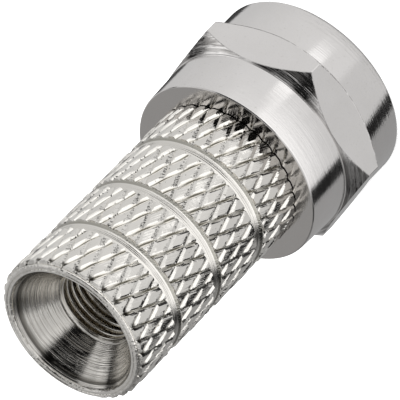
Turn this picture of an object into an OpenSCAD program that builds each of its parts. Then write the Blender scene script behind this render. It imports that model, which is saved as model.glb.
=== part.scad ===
// Twist-on coaxial plug: a knurled grip sleeve for the cable, and a hexagonal coupling nut that turns on it.
// The plug stands on the nut's front face, its cable mouth up, with the axis on Z. Lengths are in millimetres.

/* [Coupling nut] */
// Width across the hexagon's flats
nut_across_flats = 11; // [10.8:0.05:11.3]
// Length from the front face to the rear face
nut_length = 7.44; // [7.2:0.02:8.2]
// Diameter of the front collar
front_collar_d = 10.84; // [10.5:0.02:10.9]
// Diameter of the rear collar where it meets the hexagon
rear_collar_d = 10.84; // [10.5:0.02:10.9]
// Diameter of the rear collar at its rear end
rear_collar_end_d = 10.64; // [10.3:0.02:10.84]
// Length of the front collar, up to the middle of each flat
front_collar_length = 2.45; // [1.8:0.05:3]
// Width of a flat at its middle
flat_width = 2.3; // [1.9:0.05:2.6]
// Angle between the front chamfer of the hexagon and a plane across the axis
front_chamfer_angle = 39; // [25:1:45]
// Angle between the rear chamfer of the hexagon and a plane across the axis
rear_chamfer_angle = 44; // [25:1:48]
// Chamfer on the outer edge of both collars
collar_edge_chamfer = 0.08; // [0.04:0.01:0.2]
// Thickness of the inner lip at the rear
lip_thickness = 1.5; // [1.2:0.05:1.9]

/* [Socket thread] */
// Minor diameter of the thread that takes the socket
socket_thread_minor_d = 8.76; // [8.66:0.02:8.9]
// Depth of the threaded part
socket_thread_length = 4.3; // [3.8:0.05:4.4]
// Diameter of the relief groove behind the thread
relief_groove_d = 9.6; // [9.5:0.02:9.9]
// Length of the entry chamfer
entry_chamfer = 0.5; // [0.3:0.05:0.6]

/* [Grip sleeve] */
// Length of the knurled barrel, from its shoulder to the rim
barrel_length = 13.62; // [13:0.05:16]
// Diameter over the knurl's crests
knurl_d = 8.48; // [8.3:0.02:8.9]
// Depth of the knurl grooves of the deeper hand
deep_knurl_depth = 0.22; // [0.12:0.01:0.26]
// Depth of the knurl grooves of the shallower hand
fine_knurl_depth = 0.14; // [0.08:0.01:0.24]
// Number of knurl grooves of each hand
knurl_starts = 32; // [28:1:34]
// Helix angle of the deeper knurl grooves
deep_helix = 22.2; // [18:0.2:26]
// Helix angle of the shallower knurl grooves
fine_helix = 19; // [16:0.2:24]
// Angle round the axis at which the first deeper groove starts
knurl_start_angle = 5.2; // [0:0.1:11]
// Depth of the three ring grooves below the crests
ring_groove_depth = 0.35; // [0.28:0.01:0.42]
// Width of each ring groove
ring_groove_w = 0.74; // [0.5:0.02:0.9]
// Slope of a ring groove's wall, along the axis
ring_groove_slope = 0.07; // [0.04:0.01:0.14]
// Middle of the first ring groove, from the shoulder
ring_groove_1 = 3.05; // [2.7:0.05:3.4]
// Middle of the second ring groove, from the shoulder
ring_groove_2 = 6.75; // [6.2:0.05:7.1]
// Middle of the third ring groove, from the shoulder
ring_groove_3 = 10.27; // [9.8:0.05:10.7]
// Diameter of the rim around the mouth
rim_d = 8; // [7.8:0.02:8.1]
// Length of the rim beyond the knurl
rim_length = 0.2; // [0.16:0.01:0.5]
// Rounding of the rim's outer edge
rim_edge = 0.08; // [0.04:0.01:0.12]

/* [Cable hole] */
// Diameter of the conical mouth
mouth_d = 7.3; // [6.8:0.05:7.4]
// Depth of the conical mouth
mouth_depth = 2.3; // [1.8:0.05:3]
// Diameter of the cable hole over its thread's crests
cable_hole_d = 4.1; // [3.8:0.05:4.5]

/* [Neck and bush] */
// Outer diameter of the sleeve's neck inside the nut's lip
neck_d = 6.6; // [6.3:0.05:7]
// Diameter of the bush's pressed shank
shank_d = 4.9; // [4.7:0.02:5.2]
// Length of the bush's shank behind its flange
shank_length = 3.6; // [3:0.05:4.5]
// Diameter of the bush's flange
flange_d = 8.4; // [8.1:0.02:8.6]
// Thickness of the bush's flange
flange_thickness = 1; // [0.8:0.05:1.1]
// Diameter of the bush's hole for the cable's inner insulation
insulation_hole_d = 3; // [2.6:0.05:3.4]
// Chamfer at the bush's hole and edges
bush_chamfer = 0.15; // [0.1:0.01:0.2]

/* [Fits] */
// Radial clearance of the neck in the nut's lip
running_clearance = 0.06; // [0.03:0.01:0.09]
// Radial clearance of the bush's shank in the neck
press_clearance = 0.005; // [0.002:0.001:0.01]
// Gap between the sleeve's shoulder and the nut's rear face
shoulder_gap = 0.05; // [0.03:0.01:0.1]
// Gap between the nut's lip and the bush's flange
lip_gap = 0.3; // [0.2:0.02:0.4]

/* [Hidden] */
$fn = 96;
overrun = 1;                    // how far a cutter runs past the face it cuts
cells_per_groove = 3;           // columns of the knurl mesh in one groove's pitch

// Heights along the axis, from the nut's front face
flat_front_z = front_collar_length;
flat_rear_z = flat_front_z + flat_width;
lip_front_z = nut_length - lip_thickness;
shoulder_z = nut_length + shoulder_gap;
flange_rear_z = lip_front_z - lip_gap;
flange_front_z = flange_rear_z - flange_thickness;
shank_end_z = flange_rear_z + shank_length;
rim_z = shoulder_z + barrel_length;
knurl_end_z = rim_z - rim_length;
mouth_bottom_z = rim_z - mouth_depth;

// The knurl is a grid that follows the deeper grooves, so each groove runs along a column,
// and the shallower grooves run along the cells' diagonals.
columns = knurl_starts * cells_per_groove;
column_angle = 360 / columns;
knurl_r = knurl_d / 2;
groove_floor_r = knurl_r - ring_groove_depth;
deep_twist = tan(deep_helix) / knurl_r * 180 / PI;      // degrees for each millimetre along the axis
fine_twist = tan(fine_helix) / knurl_r * 180 / PI;
row_height = column_angle / (deep_twist + fine_twist);

// Each band of knurl is [start, end], and has a whole number of grid rows
ring_grooves = [ring_groove_1, ring_groove_2, ring_groove_3];
band_starts = concat([shoulder_z], [for (g = ring_grooves) shoulder_z + g + ring_groove_w / 2]);
band_ends = concat([for (g = ring_grooves) shoulder_z + g - ring_groove_w / 2], [knurl_end_z - rim_edge]);
bands = [for (i = [0 : len(band_starts) - 1]) i];
band_rows = [for (i = bands) max(1, round((band_ends[i] - band_starts[i]) / row_height))];
groove_rows = max(1, round(ring_groove_w / row_height));
function rows_before(i) = i == 0 ? 0 : rows_before(i - 1) + band_rows[i - 1] + groove_rows;

// How far a point of the grid lies below the crests
function knurl_drop(column, row) =
    column % cells_per_groove == 0 ? deep_knurl_depth
    : (column + row) % cells_per_groove == 0 ? fine_knurl_depth
    : 0;

// Rings of the barrel's surface, each [height, row of the knurl or -1 where it is smooth, radius]
function band_rings(i) = [
    for (r = [0 : band_rows[i]])
        [band_starts[i] + (band_ends[i] - band_starts[i]) * r / band_rows[i], rows_before(i) + r, knurl_r]
];
function groove_rings(i) = i == len(bands) - 1 ? [] : [
    [band_ends[i] + ring_groove_slope, -1, groove_floor_r],
    [band_starts[i + 1] - ring_groove_slope, -1, groove_floor_r]
];
rim_rings = [
    [knurl_end_z, -1, rim_d / 2],
    [rim_z - rim_edge, -1, rim_d / 2],
    [rim_z, -1, rim_d / 2 - rim_edge]
];
rings = concat([for (i = bands) each concat(band_rings(i), groove_rings(i))], rim_rings);

function ring_point(ring, column) =
    let (
        drop = ring[1] < 0 ? 0 : knurl_drop(column, ring[1]),
        angle = knurl_start_angle + column * column_angle + deep_twist * (ring[0] - shoulder_z),
        r = ring[2] - drop
    )
    [r * cos(angle), r * sin(angle), ring[0]];

// The solid barrel with its knurl, ring grooves and rim, closed by a fan at each end
module knurled_barrel() {
    last = len(rings) - 1;
    points = concat(
        [for (ring = rings) for (c = [0 : columns - 1]) ring_point(ring, c)],
        [[0, 0, rings[0][0]], [0, 0, rings[last][0]]]
    );
    front_middle = len(points) - 2;
    rear_middle = len(points) - 1;
    faces = concat(
        [for (r = [0 : last - 1]) for (c = [0 : columns - 1])
            let (next = (c + 1) % columns)
            each [
                [r * columns + c, (r + 1) * columns + c, r * columns + next],
                [r * columns + next, (r + 1) * columns + c, (r + 1) * columns + next]
            ]],
        [for (c = [0 : columns - 1]) [front_middle, c, (c + 1) % columns]],
        [for (c = [0 : columns - 1])
            [rear_middle, last * columns + (c + 1) % columns, last * columns + c]]
    );
    polyhedron(points, faces, convexity = 4);
}

// Everything bored out of the sleeve: the bush's seat, the cable hole and the conical mouth
module sleeve_bore() {
    seat_r = shank_d / 2 + press_clearance;
    mouth_slope = (mouth_d - cable_hole_d) / 2 / mouth_depth;
    rotate_extrude()
        polygon([
            [0, flange_rear_z - overrun],
            [seat_r, flange_rear_z - overrun],
            [seat_r, shank_end_z],
            [cable_hole_d / 2, shank_end_z],
            [cable_hole_d / 2, mouth_bottom_z],
            [mouth_d / 2 + overrun * mouth_slope, rim_z + overrun],
            [0, rim_z + overrun]
        ]);
}

// Knurled barrel and neck, bored for the cable and for the bush
module grip_sleeve() {
    neck_embed = row_height;
    color("gainsboro")
    difference() {
        union() {
            knurled_barrel();
            translate([0, 0, flange_rear_z])
                cylinder(d = neck_d, h = shoulder_z + neck_embed - flange_rear_z);
        }
        sleeve_bore();
    }
}

// Hexagon with both ends turned down by a cone, which leaves each flat the shape of a lens
module chamfered_hexagon() {
    flat_r = nut_across_flats / 2;
    corner_r = flat_r / cos(30);
    outer_r = corner_r + overrun;
    inner_r = front_collar_d / 2 - overrun;
    function front_cone_z(r) = flat_front_z + (r - flat_r) * tan(front_chamfer_angle);
    function rear_cone_z(r) = flat_rear_z - (r - flat_r) * tan(rear_chamfer_angle);
    intersection() {
        cylinder(r = corner_r, h = nut_length, $fn = 6);
        rotate_extrude()
            polygon([
                [0, front_cone_z(inner_r)],
                [inner_r, front_cone_z(inner_r)],
                [outer_r, front_cone_z(outer_r)],
                [outer_r, rear_cone_z(outer_r)],
                [inner_r, rear_cone_z(inner_r)],
                [0, rear_cone_z(inner_r)]
            ]);
    }
}

// Front and rear collars in one turned shape
module collars() {
    middle_z = (flat_front_z + flat_rear_z) / 2;
    rotate_extrude()
        polygon([
            [0, 0],
            [front_collar_d / 2 - collar_edge_chamfer, 0],
            [front_collar_d / 2, collar_edge_chamfer],
            [front_collar_d / 2, middle_z],
            [rear_collar_d / 2, middle_z],
            [rear_collar_d / 2, flat_rear_z],
            [rear_collar_end_d / 2, nut_length - collar_edge_chamfer],
            [rear_collar_end_d / 2 - collar_edge_chamfer, nut_length],
            [0, nut_length]
        ]);
}

// Everything bored out of the nut, from the socket thread to the lip's hole
module nut_bore() {
    minor_r = socket_thread_minor_d / 2;
    lip_hole_r = neck_d / 2 + running_clearance;
    rotate_extrude()
        polygon([
            [0, -overrun],
            [minor_r + entry_chamfer + overrun, -overrun],
            [minor_r, entry_chamfer],
            [minor_r, socket_thread_length],
            [relief_groove_d / 2, socket_thread_length],
            [relief_groove_d / 2, lip_front_z],
            [lip_hole_r, lip_front_z],
            [lip_hole_r, nut_length + overrun],
            [0, nut_length + overrun]
        ]);
}

module coupling_nut() {
    color("silver")
    difference() {
        union() {
            collars();
            chamfered_hexagon();
        }
        nut_bore();
    }
}

// Bush pressed into the neck: its flange keeps the nut on and meets the socket
module flanged_bush() {
    flange_r = flange_d / 2;
    hole_r = insulation_hole_d / 2;
    color("lightgray")
    rotate_extrude()
        polygon([
            [hole_r, flange_front_z + bush_chamfer],
            [hole_r + bush_chamfer, flange_front_z],
            [flange_r - bush_chamfer, flange_front_z],
            [flange_r, flange_front_z + bush_chamfer],
            [flange_r, flange_rear_z],
            [shank_d / 2, flange_rear_z],
            [shank_d / 2, shank_end_z - bush_chamfer],
            [shank_d / 2 - bush_chamfer, shank_end_z],
            [hole_r, shank_end_z]
        ]);
}

coupling_nut();
grip_sleeve();
flanged_bush();
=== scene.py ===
"""A twist-on coaxial plug, standing on its coupling nut, in nickel-plated brass."""
import math

import bmesh
import bpy
import numpy as np
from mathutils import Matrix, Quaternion, Vector


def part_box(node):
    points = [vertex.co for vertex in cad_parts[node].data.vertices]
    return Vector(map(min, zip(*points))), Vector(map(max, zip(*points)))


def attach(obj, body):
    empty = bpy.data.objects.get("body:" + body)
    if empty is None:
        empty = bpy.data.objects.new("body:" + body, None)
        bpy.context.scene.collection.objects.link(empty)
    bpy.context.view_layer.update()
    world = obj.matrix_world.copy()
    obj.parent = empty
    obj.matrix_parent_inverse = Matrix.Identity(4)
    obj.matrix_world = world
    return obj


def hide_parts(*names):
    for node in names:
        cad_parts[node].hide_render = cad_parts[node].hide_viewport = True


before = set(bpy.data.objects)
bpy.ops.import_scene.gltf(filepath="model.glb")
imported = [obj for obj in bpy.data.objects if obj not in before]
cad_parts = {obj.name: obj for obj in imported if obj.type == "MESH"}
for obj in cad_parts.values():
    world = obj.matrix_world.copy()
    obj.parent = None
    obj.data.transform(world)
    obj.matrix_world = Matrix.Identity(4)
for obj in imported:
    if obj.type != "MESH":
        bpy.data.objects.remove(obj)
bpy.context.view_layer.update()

# ---------------------------------------------------------------------------------------------
# Coupling nut. Turned from hexagon brass bar and nickel plated: a collar at each end, a hexagon
# whose corners both chamfers have turned down, and a 3/8-32 thread cut inside for the socket.
# It is held by its inner lip, between the sleeve's shoulder and the bush's flange.
# ---------------------------------------------------------------------------------------------
MM = 0.001
nut_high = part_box("coupling_nut")[1]
nut_length = nut_high.z / MM
corner_r = nut_high.x / MM
flat_r = nut_high.y / MM
disc_r = corner_r + 0.1
collar_r = 5.42
collar_end_r = 5.32
collar_round = 0.1
front_cone_z = 2.45
rear_cone_z = 4.75
front_cone_slope = math.tan(math.radians(39))
rear_cone_slope = math.tan(math.radians(44))
corner_round = 0.045
socket_minor_r = 4.38
socket_major_r = 4.7625
socket_pitch = 25.4 / 32
socket_thread_start = -0.75
socket_thread_turns = 7
socket_depth = 4.3
socket_entry = 0.5
relief_r = 4.8
lip_front = 5.94
lip_hole_r = 3.36
lip_round = 0.12
nut_steps = 288
thread_steps = 96
weld = 1e-4
nut_grey = (0.77, 0.75, 0.735, 1)
nut_pale = (0.84, 0.82, 0.81, 1)
nut_fleck = (0.55, 0.53, 0.5, 1)
# Painted reflection: a darker, browner colour for the nut's rear face, for the shaded knurl it
# mirrors
nut_rear_painted_reflection = (0.5, 0.475, 0.45, 1)
# Painted shade: near-black for the troughs of the turning lines on the chamfers
chamfer_line_painted_shade = (0.12, 0.11, 0.1, 1)


def arc(middle, radius, start, end, count=5):
    """Points [radius, height] of a rounded edge, between two angles in degrees."""
    angles = [math.radians(start + (end - start) * i / (count - 1)) for i in range(count)]
    return [(middle[0] + radius * math.cos(a), middle[1] + radius * math.sin(a)) for a in angles]


def draw_outline(name, points, closed=True):
    """A chain of edges through points [radius, height] in millimetres, left in edit mode."""
    bpy.ops.object.select_all(action="DESELECT")
    bpy.ops.mesh.primitive_plane_add(size=1, location=(points[0][0], 0, points[0][1]))
    bpy.context.object.name = name
    bpy.ops.object.transform_apply(location=True, rotation=False, scale=False)
    bpy.ops.object.mode_set(mode="EDIT")
    bpy.ops.mesh.select_mode(type="VERT")
    bpy.ops.mesh.merge(type="CENTER")
    for (r0, z0), (r1, z1) in zip(points, points[1:]):
        step = (r1 - r0, 0, z1 - z0)
        bpy.ops.mesh.extrude_region_move(TRANSFORM_OT_translate={"value": step})
    if closed:
        bm = bmesh.from_edit_mesh(bpy.context.object.data)
        for v in bm.verts:
            v.select_set(len(v.link_edges) == 1)
        bm.select_flush_mode()
        bpy.ops.mesh.edge_face_add()
    return bpy.context.object


def turn(name, points, steps, closed=True):
    """A piece turned on a lathe: the outline spun once round the axis."""
    piece = draw_outline(name, points, closed)
    bpy.ops.mesh.select_all(action="SELECT")
    bpy.ops.mesh.spin(steps=steps, angle=math.tau, center=(0, 0, 0), axis=(0, 0, 1))
    bpy.ops.mesh.select_all(action="SELECT")
    bpy.ops.mesh.remove_doubles(threshold=weld)
    bpy.ops.mesh.normals_make_consistent(inside=False)
    bpy.ops.object.mode_set(mode="OBJECT")
    return piece


def thread_tool(minor_r, major_r, pitch, start_z, turns):
    """The helical V that a threading tool clears, from inside the crests out to the roots."""
    root = pitch / 16
    reach = 0.08
    flank = math.radians(30)
    half = root + (major_r - minor_r + reach) * math.tan(flank)
    outline = [
        (minor_r - reach, start_z - half),
        (major_r, start_z - root),
        (major_r, start_z + root),
        (minor_r - reach, start_z + half),
    ]
    tool = draw_outline("thread_tool", outline)
    bpy.ops.object.mode_set(mode="OBJECT")
    screw = tool.modifiers.new("Screw", "SCREW")
    screw.screw_offset = pitch
    screw.iterations = turns
    screw.steps = thread_steps
    screw.render_steps = thread_steps
    screw.use_merge_vertices = True
    screw.merge_threshold = weld
    bpy.ops.object.modifier_apply(modifier="Screw")
    bpy.ops.object.mode_set(mode="EDIT")
    bpy.ops.mesh.select_all(action="SELECT")
    bpy.ops.mesh.fill_holes(sides=4)
    bpy.ops.mesh.select_all(action="SELECT")
    bpy.ops.mesh.normals_make_consistent(inside=False)
    bpy.ops.object.mode_set(mode="OBJECT")
    return tool


def cut(piece, tool):
    """Takes the tool's shape out of the piece, and throws the tool away."""
    bpy.ops.object.select_all(action="DESELECT")
    piece.select_set(True)
    bpy.context.view_layer.objects.active = piece
    boolean = piece.modifiers.new("Cut", "BOOLEAN")
    boolean.operation = "DIFFERENCE"
    boolean.solver = "EXACT"
    boolean.object = tool
    bpy.ops.object.modifier_apply(modifier="Cut")
    bpy.data.objects.remove(tool)


def finish_shape(piece, smooth_angle):
    """Brings a piece from millimetres to metres, in place round the world's origin."""
    bpy.ops.object.select_all(action="DESELECT")
    piece.select_set(True)
    bpy.context.view_layer.objects.active = piece
    piece.scale = (MM, MM, MM)
    bpy.ops.object.transform_apply(location=True, rotation=True, scale=True)
    bpy.ops.object.shade_smooth_by_angle(angle=math.radians(smooth_angle))


nut_outline = [
    (socket_minor_r, socket_entry),
    (socket_minor_r + socket_entry, 0),
    *arc((collar_r - collar_round, collar_round), collar_round, -90, 0),
    (collar_r, front_cone_z - (flat_r - collar_r) * front_cone_slope),
    (disc_r, front_cone_z + (disc_r - flat_r) * front_cone_slope),
    (disc_r, rear_cone_z - (disc_r - flat_r) * rear_cone_slope),
    (collar_r, rear_cone_z + (flat_r - collar_r) * rear_cone_slope),
    *arc((collar_end_r - collar_round, nut_length - collar_round), collar_round, 0, 90),
    *arc((lip_hole_r + lip_round, nut_length - lip_round), lip_round, 90, 180),
    (lip_hole_r, lip_front),
    (relief_r, lip_front),
    (relief_r, socket_depth),
    (socket_minor_r, socket_depth),
]
nut = turn("nut_turned", nut_outline, nut_steps)

# The six flats: each is milled square to a radius, and the corners left between them are broken
bpy.ops.object.mode_set(mode="EDIT")
for side in range(6):
    angle = math.radians(60 * side + 30)
    outwards = Vector((math.cos(angle), math.sin(angle), 0))
    bpy.ops.mesh.select_all(action="SELECT")
    bpy.ops.mesh.bisect(
        plane_co=outwards * flat_r, plane_no=outwards, use_fill=True, clear_outer=True
    )
bpy.ops.mesh.select_all(action="DESELECT")
bm = bmesh.from_edit_mesh(nut.data)
corner_edge_r = corner_r - 0.02
for edge in bm.edges:
    if all(v.co.xy.length > corner_edge_r for v in edge.verts):
        edge.select_set(True)
bpy.ops.mesh.bevel(offset=corner_round, segments=3)
bpy.ops.object.mode_set(mode="OBJECT")
socket_tool = thread_tool(
    socket_minor_r, socket_major_r, socket_pitch, socket_thread_start, socket_thread_turns
)
cut(nut, socket_tool)
finish_shape(nut, smooth_angle=20)


class Wire:
    """A shader value that takes part in Python sums, each of which adds a Math node."""

    def __init__(self, finish, socket):
        self.finish = finish
        self.socket = socket

    def math(self, operation, *values):
        """Adds a Math node whose first value is this one."""
        values = dict(enumerate((self, *values)))
        return self.finish.node("Math", {"operation": operation}, values)

    def __add__(self, other):
        return self.math("ADD", other)

    def __sub__(self, other):
        return self.math("SUBTRACT", other)

    def __rsub__(self, other):
        return (self * -1) + other

    def __mul__(self, other):
        return self.math("MULTIPLY", other)

    __radd__ = __add__
    __rmul__ = __mul__


class Finish:
    """The shader of a material, of the floor or of the world."""

    def __init__(self, owner):
        owner.use_nodes = True
        self.tree = owner.node_tree
        self.tree.nodes.clear()

    def node(self, kind, settings=None, inputs=None, output=0):
        """Adds a node: its settings first, then the values or links of its sockets."""
        node = self.tree.nodes.new("ShaderNode" + kind)
        for name, value in (settings or {}).items():
            setattr(node, name, value)
        for name, value in (inputs or {}).items():
            if isinstance(value, Wire):
                self.tree.links.new(value.socket, node.inputs[name])
            else:
                node.inputs[name].default_value = value
        return Wire(self, node.outputs[output]) if node.outputs else None

    def part(self, vector, axis):
        """One coordinate of a vector: 0, 1 or 2."""
        return self.node("SeparateXYZ", inputs={0: vector}, output=axis)

    def blend(self, share, first, second):
        """A colour between two others."""
        inputs = {"Factor": share, 6: first, 7: second}
        return self.node("Mix", {"data_type": "RGBA"}, inputs, 2)

    def ease(self, value, low, high, at_low=0.0, at_high=1.0):
        """A value that goes smoothly from one level to another between low and high."""
        inputs = {0: value, 1: low, 2: high, 3: at_low, 4: at_high}
        return self.node("MapRange", {"interpolation_type": "SMOOTHSTEP"}, inputs)

    def metal(self, colour, roughness, ripple, relief_mm, strength=1.0):
        """Bare plated metal, with a ripple of 0 to 1 raised to so many millimetres."""
        bump = {"Strength": strength, "Distance": relief_mm * MM, "Height": ripple}
        look = {
            "Base Color": colour,
            "Metallic": 1.0,
            "Roughness": roughness,
            "Normal": self.node("Bump", inputs=bump),
        }
        self.node("OutputMaterial", inputs={"Surface": self.node("BsdfPrincipled", inputs=look)})


def plate(piece, name):
    """Gives a turned piece a material of its own.

    Hands back the material's shader and, for each point, its place, and in millimetres its
    distance from the axis and its height.
    """
    material = bpy.data.materials.new(name)
    piece.data.materials.clear()
    piece.data.materials.append(material)
    finish = Finish(material)
    place = finish.node("TexCoord", output=3)
    x, y, z = (finish.part(place, i) * (1 / MM) for i in range(3))
    return finish, place, (x * x + y * y).math("SQRT"), z


def lathe_lines(finish, place, radius, height, per_mm, streak, seed):
    """Fine rings that a turning tool leaves round the axis, 0 to 1.

    Streak lets each ring fade along its length.
    """
    drift = finish.node("TexNoise", inputs={"Vector": place, "Scale": 400.0, "Detail": 2.0})
    across = finish.node(
        "CombineXYZ", inputs={0: radius * per_mm, 1: drift * streak + seed, 2: height * per_mm}
    )
    inputs = {"Vector": across, "Scale": 1.0, "Detail": 3.0, "Roughness": 0.6}
    return finish.node("TexNoise", inputs=inputs)


def speckle(finish, place, per_mm, detail=4.0):
    """Even noise over a surface, 0 to 1."""
    return finish.node("TexNoise", inputs={"Vector": place, "Scale": per_mm / MM, "Detail": detail})


shade, place, radius, height = plate(nut, "nut_nickel")
lines = lathe_lines(shade, place, radius, height, 11.0, 1.5, 1.0)
coarse = lathe_lines(shade, place, radius, height, 5.0, 3.0, 8.0)
clouds = speckle(shade, place, 0.9)
grain = speckle(shade, place, 9.0, 2.0)
# A point behind the rear cone or ahead of the front one is turned; between them lie the milled flats
behind = height - rear_cone_z + (radius - flat_r) * rear_cone_slope
ahead = (radius - flat_r) * front_cone_slope - height + front_cone_z
turned_part = shade.ease(behind.math("MAXIMUM", ahead), -0.05, -0.02)
on_chamfer = turned_part * shade.ease(radius - collar_r, 0.02, 0.06)
on_rear_face = shade.ease(nut_length - height, 0.03, 0.01)
ripple = lines * turned_part * 0.3 + grain * 0.11 + coarse * on_chamfer * 3.0
colour = shade.blend(clouds, nut_grey, nut_pale)
colour = shade.blend(shade.ease(grain, 0.62, 0.75) * 0.3, colour, nut_fleck)
# Painted reflection: the nut's rear face is darkened towards brown, for the knurl's shaded sides
# that it faces
colour = shade.blend(on_rear_face * 0.6, colour, nut_rear_painted_reflection)
# Painted shade: the chamfers' coarse turning lines are darkened nearly to black
colour = shade.blend(on_chamfer * shade.ease(coarse, 0.45, 0.6) * 0.6, colour, chamfer_line_painted_shade)
shade.metal(colour, shade.ease(clouds, 0.3, 0.7, 0.08, 0.13), ripple, 0.016)
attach(nut, "nut")
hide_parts("coupling_nut")

# ---------------------------------------------------------------------------------------------
# Grip sleeve. Turned brass with a two-handed knurl rolled into its barrel, three ring grooves
# cut through the knurl, a turned cone at the mouth and a fine thread that screws on to the
# cable's jacket. Its neck passes through the nut's lip.
# ---------------------------------------------------------------------------------------------
sleeve_low, sleeve_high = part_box("grip_sleeve")
rim_z = sleeve_high.z / MM
neck_front = sleeve_low.z / MM
shoulder_z = nut_length + 0.05
# The knurl: the widths of its grooves' flanks are in degrees round the barrel
knurl_r = 4.24
knurl_starts = 32
groove_cells = 12
deep_depth = 0.16
fine_depth = 0.1
deep_easy_width = 2.4
deep_steep_width = 1.4
fine_steep_width = 2.4
fine_easy_width = 3.7
rib_fall = 0.05
deep_wear = 0.2
fine_wear = 0.1
deep_helix = math.radians(22.2)
fine_helix = math.radians(19)
deep_twist = math.degrees(math.tan(deep_helix) / knurl_r)
fine_twist = math.degrees(math.tan(fine_helix) / knurl_r)
knurl_start_angle = 5.2
columns = knurl_starts * groove_cells
cell_angle = 360 / columns
row_height = cell_angle / (deep_twist + fine_twist)
# The ring grooves: each place is the height of a groove's middle above the shoulder
ring_groove_depth = 0.35
ring_groove_w = 0.74
ring_groove_lip = 0.13
ring_groove_lip_rise = 0.03
ring_groove_bow = 0.04
ring_groove_bow_shift = 0.08
ring_groove_floor_end = 0.112
ring_groove_wall_r = 0.06
ring_groove_wall_z = 0.056
ring_groove_places = (3.05, 6.75, 10.27)
# The rim: its outer edge is rounded, and a shallow line is scored between that and the mouth
rim_r = 4.06
rim_round = 0.16
rim_width = 0.2
rim_steps = 15
knurl_end = rim_z - 0.2
knurl_end_gap = 0.07
knurl_end_rise = 0.03
mouth_r = 3.65
mouth_round = 0.04
score_outer = 0.18
score_inner = 0.15
score_depth = 0.03
mouth_land = 0.13
# The bored body: cone, cable hole with its thread, neck and the bush's seat
cone_bottom = rim_z - 2.3
cone_run_in = 0.04
cable_r = 2.05
cable_edge_w = 0.02
cable_edge_h = 0.03
cable_pitch = 0.4
cable_thread_depth = 0.2
cable_thread_start = 12.0
cable_thread_turns = 19
core_r = 3.8
neck_r = 3.3
seat_r = 2.455
seat_end = 9.24
tolerance = 0.001
ring_tolerance = 0.01
sleeve_grey = (0.8, 0.775, 0.73, 1)
sleeve_pale = (0.86, 0.84, 0.805, 1)
# Painted shade: a dark olive grey for the floors of the knurl's valleys
valley_painted_shade = (0.3, 0.29, 0.25, 1)
# Painted shadow: near-black for the ends of the knurl's valleys just below the rim
run_out_painted_shadow = (0.06, 0.055, 0.045, 1)
# Painted shade: a darker olive for the inside of the ring grooves
ring_groove_painted_shade = (0.5, 0.47, 0.41, 1)
nick_dark = (0.2, 0.19, 0.17, 1)
# Painted shade: a darker grey for the troughs of the turning rings in the mouth's cone
cone_line_painted_shade = (0.4, 0.38, 0.35, 1)
thread_tint = (0.5, 0.44, 0.33, 1)


def helix_streaks(finish, place, height, twist, per_mm, seed):
    """Streaks along a helix that turns so many degrees in a millimetre, 0 to 1."""
    turned = height * math.radians(twist)
    ahead = turned.math("COSINE")
    aside = turned.math("SINE")
    x = finish.part(place, 0) * (per_mm / MM)
    y = finish.part(place, 1) * (per_mm / MM)
    change_along = 0.9
    unwound = {0: x * ahead + y * aside, 1: y * ahead - x * aside, 2: height * change_along + seed}
    along = finish.node("CombineXYZ", inputs=unwound)
    return finish.node("TexNoise", inputs={"Vector": along, "Scale": 1.0, "Detail": 2.0})


def knurl_outline():
    """The barrel's outline from the shoulder to the rim: even rows in each band of knurl."""
    edges = [0]
    for place in ring_groove_places:
        edges.append(round((place - ring_groove_w / 2) / row_height))
        edges.append(round((place + ring_groove_w / 2) / row_height))
    edges.append(round((knurl_end - knurl_end_gap - shoulder_z) / row_height))
    floor_r = knurl_r - ring_groove_depth
    points = []
    for first, last in zip(edges[::2], edges[1::2]):
        points += [(knurl_r, shoulder_z + row * row_height) for row in range(first, last + 1)]
        end_z = points[-1][1]
        if last != edges[-1]:
            next_z = shoulder_z + edges[edges.index(last) + 1] * row_height
            points += [
                (knurl_r - ring_groove_lip, end_z + ring_groove_lip_rise),
                (floor_r + ring_groove_bow, (end_z + next_z) / 2 + ring_groove_bow_shift),
                (floor_r, next_z - ring_groove_floor_end),
                (floor_r + ring_groove_wall_r, next_z - ring_groove_wall_z),
            ]
    points.append((rim_r, knurl_end + knurl_end_rise))
    for step in range(rim_steps + 1):
        lean = math.radians(90 * step / rim_steps)
        across = rim_width * (1 - math.cos(lean))
        down = rim_round * (1 - math.sin(lean))
        points.append((rim_r - across, rim_z - down))
    points.append((mouth_r + score_outer, rim_z - score_depth))
    points.append((mouth_r + score_inner, rim_z - score_depth))
    points.append((mouth_r + mouth_land, rim_z))
    return points


def roll_knurl(piece):
    """Turns each ring to follow the deeper grooves, then presses in both hands of grooves.

    Each groove has one steep flank and one easy one, and is worn a little unevenly.
    """
    count = len(piece.data.vertices)
    co = np.empty(count * 3)
    piece.data.vertices.foreach_get("co", co)
    co = co.reshape(-1, 3)
    height = co[:, 2] - shoulder_z
    radius = np.hypot(co[:, 0], co[:, 1])
    column = np.round(np.degrees(np.arctan2(co[:, 1], co[:, 0])) / cell_angle)
    angle = knurl_start_angle + column * cell_angle + deep_twist * height
    pitch = 360 / knurl_starts
    deep_turn = angle - knurl_start_angle - deep_twist * height
    fine_turn = angle - knurl_start_angle - cell_angle + fine_twist * height
    deep_stations = (0, deep_steep_width, pitch - deep_easy_width, pitch)
    fine_stations = (0, fine_easy_width, pitch - fine_steep_width, pitch)
    rib = np.interp(deep_turn % pitch, deep_stations, (deep_depth, 0, rib_fall, deep_depth))
    notch = np.interp(fine_turn % pitch, fine_stations, (fine_depth, 0, 0, fine_depth))
    rib = rib * (1 + deep_wear * np.sin(height * 4.1 + np.floor(deep_turn / pitch) * 2.4))
    notch = notch * (1 + fine_wear * np.sin(height * 2.3 + np.radians(angle) * 8))
    knurled = radius > knurl_r - tolerance
    radius = np.where(knurled, radius - np.maximum(rib, notch), radius)
    co[:, 0] = radius * np.cos(np.radians(angle))
    co[:, 1] = radius * np.sin(np.radians(angle))
    piece.data.vertices.foreach_set("co", co.ravel())
    piece.data.update()


barrel = turn("barrel_skin", knurl_outline(), columns, closed=False)
roll_knurl(barrel)
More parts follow.
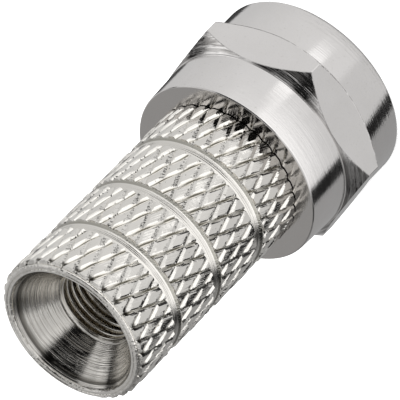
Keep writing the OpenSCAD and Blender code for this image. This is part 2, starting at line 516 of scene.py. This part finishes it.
# The shorter diagonal of each cell runs along the finer grooves
bpy.ops.object.mode_set(mode="EDIT")
bpy.ops.mesh.select_all(action="SELECT")
bpy.ops.mesh.quads_convert_to_tris(quad_method="SHORTEST_DIAGONAL")
bpy.ops.object.mode_set(mode="OBJECT")

# The bored body: its outer wall only closes it while the thread is cut, and then the barrel
# takes that wall's place
core_outline = [
    (seat_r, neck_front),
    (neck_r, neck_front),
    (neck_r, shoulder_z),
    (core_r, shoulder_z),
    (core_r, rim_z),
    *arc((mouth_r + mouth_round, rim_z - mouth_round), mouth_round, 90, 145, 9),
    (mouth_r - cone_run_in, rim_z - mouth_round - cone_run_in),
    (cable_r + cable_edge_w, cone_bottom + cable_edge_h),
    (cable_r, cone_bottom),
    (cable_r, seat_end),
    (seat_r, seat_end),
]
core = turn("sleeve_core", core_outline, columns)
cable_tool = thread_tool(
    cable_r, cable_r + cable_thread_depth, cable_pitch, cable_thread_start, cable_thread_turns
)
cut(core, cable_tool)

bpy.ops.object.mode_set(mode="EDIT")
bm = bmesh.from_edit_mesh(core.data)
bpy.ops.mesh.select_mode(type="FACE")
bpy.ops.mesh.select_all(action="DESELECT")
wall_face_r = core_r - 0.02
for face in bm.faces:
    middle = face.calc_center_median()
    on_wall = middle.xy.length > wall_face_r
    on_shoulder = abs(middle.z - shoulder_z) < tolerance and middle.xy.length > neck_r
    on_rim = abs(middle.z - rim_z) < tolerance
    face.select_set(on_wall or on_shoulder or on_rim)
bpy.ops.mesh.delete(type="FACE")
bpy.ops.object.mode_set(mode="OBJECT")
bpy.ops.object.select_all(action="DESELECT")
barrel.select_set(True)
core.select_set(True)
bpy.context.view_layer.objects.active = barrel
bpy.ops.object.join()
sleeve = bpy.context.object
sleeve.name = "sleeve_knurled"

# Two flat rings join the barrel to the bored body, at the shoulder and at the rim
bpy.ops.object.mode_set(mode="EDIT")
bpy.ops.mesh.select_mode(type="EDGE")
for ring_z in (shoulder_z, rim_z):
    bpy.ops.mesh.select_all(action="DESELECT")
    bm = bmesh.from_edit_mesh(sleeve.data)
    for edge in bm.edges:
        if edge.is_boundary and all(abs(v.co.z - ring_z) < ring_tolerance for v in edge.verts):
            edge.select_set(True)
    bpy.ops.mesh.bridge_edge_loops()
bpy.ops.mesh.select_all(action="SELECT")
bpy.ops.mesh.normals_make_consistent(inside=False)
bpy.ops.object.mode_set(mode="OBJECT")
finish_shape(sleeve, smooth_angle=8)

shade, place, radius, height = plate(sleeve, "sleeve_nickel")
fine_lines = lathe_lines(shade, place, radius, height, 15.0, 1.2, 2.0)
coarse_lines = lathe_lines(shade, place, radius, height, 4.5, 2.0, 5.0)
streaks = helix_streaks(shade, place, height, deep_twist, 13.0, 3.0)
clouds = speckle(shade, place, 1.5)
grain = speckle(shade, place, 5.0, 2.0)
# Each part of the sleeve is told by how many millimetres a point lies under the knurl's crests,
# below the rim or the knurl's end, above the cable hole, or out from the mouth's edge
depth = knurl_r - radius
below_rim = rim_z - height
below_end = knurl_end - height
above_hole = height - cone_bottom
past_mouth = radius - mouth_r
turned_part = shade.ease(depth, 0.19, 0.22)
knurled_part = 1 - turned_part
on_rim = shade.ease(below_rim, 0.16, 0.1) * shade.ease(past_mouth, -0.1, 0)
in_cone = shade.ease(past_mouth, 0.05, -0.05) * shade.ease(height - cable_thread_start, 0, 0.1)
in_hole = shade.ease(above_hole, 0.12, -0.05) * in_cone
in_thread = in_hole * shade.ease(radius - cable_r, 0.02, 0.08)
in_valley = shade.ease(depth, 0.11, 0.145) * shade.ease(depth, 0.2, 0.18)
in_valley = in_valley * shade.ease(below_end, 0, 0.05)
in_run_out = shade.ease(below_end, 0.4, 0.2) * shade.ease(below_end, 0.06, 0.1)
in_run_out = in_run_out * shade.ease(depth, 0.05, 0.08)
in_ring_groove = turned_part * shade.ease(below_end, 0.1, 0.2)
in_nick = shade.ease(grain, 0.7, 0.73) * knurled_part
in_cone_line = in_cone * shade.ease(fine_lines, 0.5, 0.35)
ripple = (fine_lines + coarse_lines) * turned_part
ripple = ripple + (streaks * 0.7 + grain * 0.4) * knurled_part
ripple = ripple + grain * on_rim * 3.0
colour = shade.blend(clouds, sleeve_grey, sleeve_pale)
# Painted shade: the knurl's valleys are darkened, as if shade lay in them
colour = shade.blend(in_valley * 0.8, colour, valley_painted_shade)
# Painted shadow: the valleys' ends below the rim are darkened nearly to black, for the shadowed
# notches there
colour = shade.blend(in_run_out * 0.9, colour, run_out_painted_shadow)
# Painted shade: the ring grooves are slightly darkened, for the shade inside them
colour = shade.blend(in_ring_groove * 0.15, colour, ring_groove_painted_shade)
colour = shade.blend(in_nick * 0.7, colour, nick_dark)
# Painted shade: the cone's fine turning rings are darkened in their troughs, as tiny shadowed
# grooves
colour = shade.blend(in_cone_line * 0.6, colour, cone_line_painted_shade)
colour = shade.blend(in_thread * 0.85, colour, thread_tint)
shade.metal(colour, 0.07, ripple, 0.02)
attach(sleeve, "plug_body")
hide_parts("grip_sleeve")

# ---------------------------------------------------------------------------------------------
# Flanged bush. A turned brass bush pressed into the sleeve's neck: its flange keeps the nut on
# and meets the socket's rim. Only its faces inside the nut and down the cable hole show.
# ---------------------------------------------------------------------------------------------
bush_dull = (0.66, 0.63, 0.58, 1)
bush_pale = (0.76, 0.74, 0.70, 1)
shade, place, radius, height = plate(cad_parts["flanged_bush"], "bush_nickel")
lines = lathe_lines(shade, place, radius, height, 8.0, 1.5, 3.0)
shade.metal(shade.blend(lines, bush_dull, bush_pale), 0.25, lines, 0.02, strength=0.5)

# ---------------------------------------------------------------------------------------------
# Studio. A pale floor under the plug, a light tent round it with soft bright panels and dark
# cards that draw the edges of the metal, and a long lens that looks down into the cable mouth.
# ---------------------------------------------------------------------------------------------
floor_size = 0.6
floor_gap = 0.02 * MM
floor_glow = 0.55
bpy.ops.object.select_all(action="DESELECT")
bpy.ops.mesh.primitive_plane_add(size=floor_size, location=(0, 0, -floor_gap))
floor = bpy.context.object
floor.name = "floor"
floor.visible_glossy = False
pale = bpy.data.materials.new("pale_floor")
shade = Finish(pale)
seen = shade.node("LightPath", output="Is Camera Ray")
glow = shade.node("Emission", inputs={"Color": (1, 1, 1, 1), "Strength": seen * floor_glow})
matt = shade.node("BsdfDiffuse", inputs={"Color": (0.85, 0.85, 0.85, 1)})
surface = shade.node("AddShader", inputs={0: glow, 1: matt})
shade.node("OutputMaterial", inputs={"Surface": surface})
floor.data.materials.append(pale)

# Each card of the tent: compass angle and height of its middle, half its width and height and the
# softness of its edge, all in degrees, how much it leans, and its brightness. A later card hides
# what it covers of an earlier one
CARDS = (
    (25, -8, 30, 14, 20, 0, 1.0),
    (-33, -8, 48, 17, 12, 0, 1.3),
    (180, 36, 62, 22, 16, 0, 0.4),
    (-127, -2, 40, 22, 10, 0, 0.21),
    (-115, 30, 30, 16, 10, 0, 0.15),
    (-52, 29, 20, 13, 10, 0, 0.6),
    (93, 29, 16, 10, 5, 0, 1.1),
    (118, 10, 10, 10, 5, 0, 0.03),
    (30, 60, 60, 14, 10, 0, 0.22),
    (76, 22, 14, 10, 12, 0, 0.55),
    (26, 34, 38, 19, 8, 0, 0.005),
    (-1, 52, 12, 20, 8, 0, 0.01),
    (14, -35, 9, 5, 6, 0, 1.25),
    (-52, -40, 30, 8, 10, 0, 0.66),
    (-142, -37, 43, 14, 6, 0, 0.35),
    (-91, -37, 10, 60, 2, 0.4, 0.02),
    (158, -42, 12, 10, 6, 0, 0.05),
    (0, -72, 92, 21, 5, 0, 0.04),
)
tent_camera_side = 0.8
tent_far_side = 0.6
world = bpy.data.worlds.new("light_tent")
bpy.context.scene.world = world
shade = Finish(world)
sight = shade.node("TexCoord", output=0)
compass = shade.part(sight, 1).math("ARCTAN2", shade.part(sight, 0)) * (180 / math.pi)
sky_height = shade.part(sight, 2).math("ARCSINE") * (180 / math.pi)
tent = shade.ease(compass.math("ABSOLUTE"), 20, 170, tent_camera_side, tent_far_side)
for turn_to, lift, half_w, half_h, soft, lean, brightness in CARDS:
    above = sky_height - lift
    aside = (compass - turn_to + above * lean).math("WRAP", 180, -180)
    inside = shade.ease(aside.math("ABSOLUTE"), half_w + soft / 2, half_w - soft / 2)
    inside = inside * shade.ease(above.math("ABSOLUTE"), half_h + soft / 2, half_h - soft / 2)
    tent = tent + inside * (brightness - tent)
camera_ray = shade.node("LightPath", output="Is Camera Ray")
strength = tent + camera_ray * (1 - tent)
surface = shade.node("Background", inputs={"Color": (1, 1, 1, 1), "Strength": strength})
shade.node("OutputWorld", inputs={"Surface": surface})

lamp_place = Vector((0.1, 0.05, 0.3))
bpy.ops.object.light_add(type="AREA", location=lamp_place)
lamp = bpy.context.object
lamp.data.shape = "DISK"
lamp.data.size = 0.25
lamp.data.energy = 1.2
lamp.rotation_euler = lamp_place.to_track_quat("Z", "Y").to_euler()
lamp.visible_glossy = False

camera_lift = math.radians(36.19)
camera_compass = math.radians(-4.39)
camera_roll = math.radians(-135.55)
camera_distance = 0.53636
aim = Vector((0.000435, -0.000036, 0.010064))
back = Vector((
    math.cos(camera_lift) * math.cos(camera_compass),
    math.cos(camera_lift) * math.sin(camera_compass),
    math.sin(camera_lift),
))
bpy.ops.object.camera_add(location=aim + back * camera_distance)
camera = bpy.context.object
camera.data.lens = 963.8
camera.data.sensor_width = 36
camera.data.clip_start = 0.01
camera.data.clip_end = 3
camera.rotation_mode = "QUATERNION"
camera.rotation_quaternion = back.to_track_quat("Z", "Y") @ Quaternion((0, 0, 1), camera_roll)
bpy.context.scene.camera = camera

bpy.context.scene.view_settings.view_transform = "Standard"
